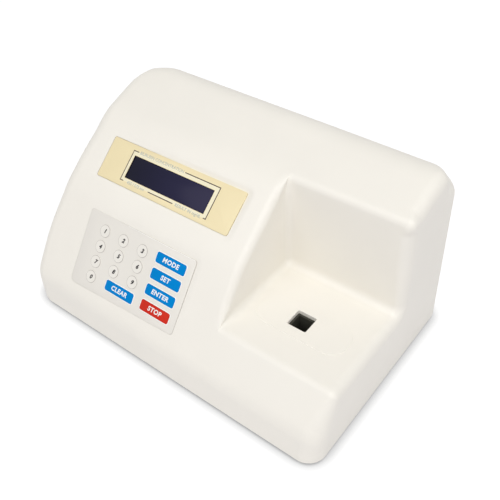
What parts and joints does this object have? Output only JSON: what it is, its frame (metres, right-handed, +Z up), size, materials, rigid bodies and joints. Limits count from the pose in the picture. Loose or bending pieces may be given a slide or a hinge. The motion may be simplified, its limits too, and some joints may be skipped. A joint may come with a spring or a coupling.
{
  "type": "bilirubin meter",
  "caption": "Benchtop bilirubin meter: wedge-shaped moulded cover with a stepped sample bay and cuvette well, tilted display and keypad, optics and boards inside.",
  "frame": {"origin": "centre of the footprint, on the surface that the feet stand on", "axes": "+X to the user's right along the instrument's width, +Y from its front to its rear, +Z up"},
  "size_m": [0.3, 0.1876, 0.1518],
  "materials": {
    "cover": "fine satin moulded",
    "overlay": "matt printed film",
    "bezel": "matt printed plate",
    "window": "dark tinted, polished",
    "digit_key": "matt film",
    "blue_key": "matt film",
    "red_key": "matt film",
    "black": "moulded",
    "rubber": "matt",
    "steel": "plated",
    "aluminium": "satin",
    "board": "solder mask",
    "glass": "polished",
    "blue_glass": "polished",
    "green_glass": "polished",
    "copper": "enamelled winding",
    "ribbon": "flat cable"
  },
  "bodies": {
    "instrument": {"housing_cover": "cover", "base_plate": "steel", "rear_panel": "aluminium", "inlet_body": "black", "serial_port": "steel", "display_bezel": "bezel", "display_window": "window", "lcd_module": "steel", "lcd_board": "board", "display_ribbon": "ribbon", "keypad_overlay": "overlay", "keypad_board": "board", "keypad_ribbon": "ribbon", "main_board": "board", "optics_plate": "aluminium", "cuvette_well": "black", "lamp_holder": "black", "lamp": "glass", "collimating_lens": "glass", "splitter_block": "black", "beam_splitter": "glass", "blue_filter": "blue_glass", "green_filter": "green_glass", "blue_detector_board": "board", "green_detector_board": "board", "mains_transformer": "copper", "mains_lead": "black", "lamp_lead": "rubber", "foot_front_left": "rubber", "base_screw_front_left": "steel", "foot_front_right": "rubber", "base_screw_front_right": "steel", "foot_rear_left": "rubber", "base_screw_rear_left": "steel", "foot_rear_right": "rubber", "base_screw_rear_right": "steel", "rear_panel_screw_lower_left": "steel", "rear_panel_screw_lower_right": "steel", "rear_panel_screw_upper_left": "steel", "rear_panel_screw_upper_right": "steel"},
    "fuse_drawer": {"fuse_drawer": "black", "mains_fuse": "glass"},
    "power_rocker": {"power_rocker": "black"},
    "key_1": {"key_1": "digit_key"},
    "key_2": {"key_2": "digit_key"},
    "key_3": {"key_3": "digit_key"},
    "key_4": {"key_4": "digit_key"},
    "key_5": {"key_5": "digit_key"},
    "key_6": {"key_6": "digit_key"},
    "key_7": {"key_7": "digit_key"},
    "key_8": {"key_8": "digit_key"},
    "key_9": {"key_9": "digit_key"},
    "key_0": {"key_0": "digit_key"},
    "key_mode": {"key_mode": "blue_key"},
    "key_set": {"key_set": "blue_key"},
    "key_enter": {"key_enter": "blue_key"},
    "key_stop": {"key_stop": "red_key"},
    "key_clear": {"key_clear": "blue_key"}
  },
  "joints": [
    {"name": "key_1_press", "type": "slide", "parent": "instrument", "child": "key_1", "axis": [0, 0.7955, -0.606], "range_m": [0, 0.0005], "stiffness_N_per_m": 1000},
    {"name": "key_2_press", "type": "slide", "parent": "instrument", "child": "key_2", "axis": [0, 0.7955, -0.606], "range_m": [0, 0.0005], "stiffness_N_per_m": 1000},
    {"name": "key_3_press", "type": "slide", "parent": "instrument", "child": "key_3", "axis": [0, 0.7955, -0.606], "range_m": [0, 0.0005], "stiffness_N_per_m": 1000},
    {"name": "key_4_press", "type": "slide", "parent": "instrument", "child": "key_4", "axis": [0, 0.7955, -0.606], "range_m": [0, 0.0005], "stiffness_N_per_m": 1000},
    {"name": "key_5_press", "type": "slide", "parent": "instrument", "child": "key_5", "axis": [0, 0.7955, -0.606], "range_m": [0, 0.0005], "stiffness_N_per_m": 1000},
    {"name": "key_6_press", "type": "slide", "parent": "instrument", "child": "key_6", "axis": [0, 0.7955, -0.606], "range_m": [0, 0.0005], "stiffness_N_per_m": 1000},
    {"name": "key_7_press", "type": "slide", "parent": "instrument", "child": "key_7", "axis": [0, 0.7955, -0.606], "range_m": [0, 0.0005], "stiffness_N_per_m": 1000},
    {"name": "key_8_press", "type": "slide", "parent": "instrument", "child": "key_8", "axis": [0, 0.7955, -0.606], "range_m": [0, 0.0005], "stiffness_N_per_m": 1000},
    {"name": "key_9_press", "type": "slide", "parent": "instrument", "child": "key_9", "axis": [0, 0.7955, -0.606], "range_m": [0, 0.0005], "stiffness_N_per_m": 1000},
    {"name": "key_0_press", "type": "slide", "parent": "instrument", "child": "key_0", "axis": [0, 0.7955, -0.606], "range_m": [0, 0.0005], "stiffness_N_per_m": 1000},
    {"name": "key_mode_press", "type": "slide", "parent": "instrument", "child": "key_mode", "axis": [0, 0.7955, -0.606], "range_m": [0, 0.0005], "stiffness_N_per_m": 1000},
    {"name": "key_set_press", "type": "slide", "parent": "instrument", "child": "key_set", "axis": [0, 0.7955, -0.606], "range_m": [0, 0.0005], "stiffness_N_per_m": 1000},
    {"name": "key_enter_press", "type": "slide", "parent": "instrument", "child": "key_enter", "axis": [0, 0.7955, -0.606], "range_m": [0, 0.0005], "stiffness_N_per_m": 1000},
    {"name": "key_stop_press", "type": "slide", "parent": "instrument", "child": "key_stop", "axis": [0, 0.7955, -0.606], "range_m": [0, 0.0005], "stiffness_N_per_m": 1000},
    {"name": "key_clear_press", "type": "slide", "parent": "instrument", "child": "key_clear", "axis": [0, 0.7955, -0.606], "range_m": [0, 0.0005], "stiffness_N_per_m": 1000},
    {"name": "power_rocker_tilt", "type": "hinge", "parent": "instrument", "child": "power_rocker", "pos_m": [-0.002, 0.08625, 0.0675], "axis": [0, 0, 1], "range_deg": [0, 16]},
    {"name": "fuse_drawer_pull", "type": "slide", "parent": "instrument", "child": "fuse_drawer", "axis": [0, 1, 0], "range_m": [0, 0.02]}
  ]
}
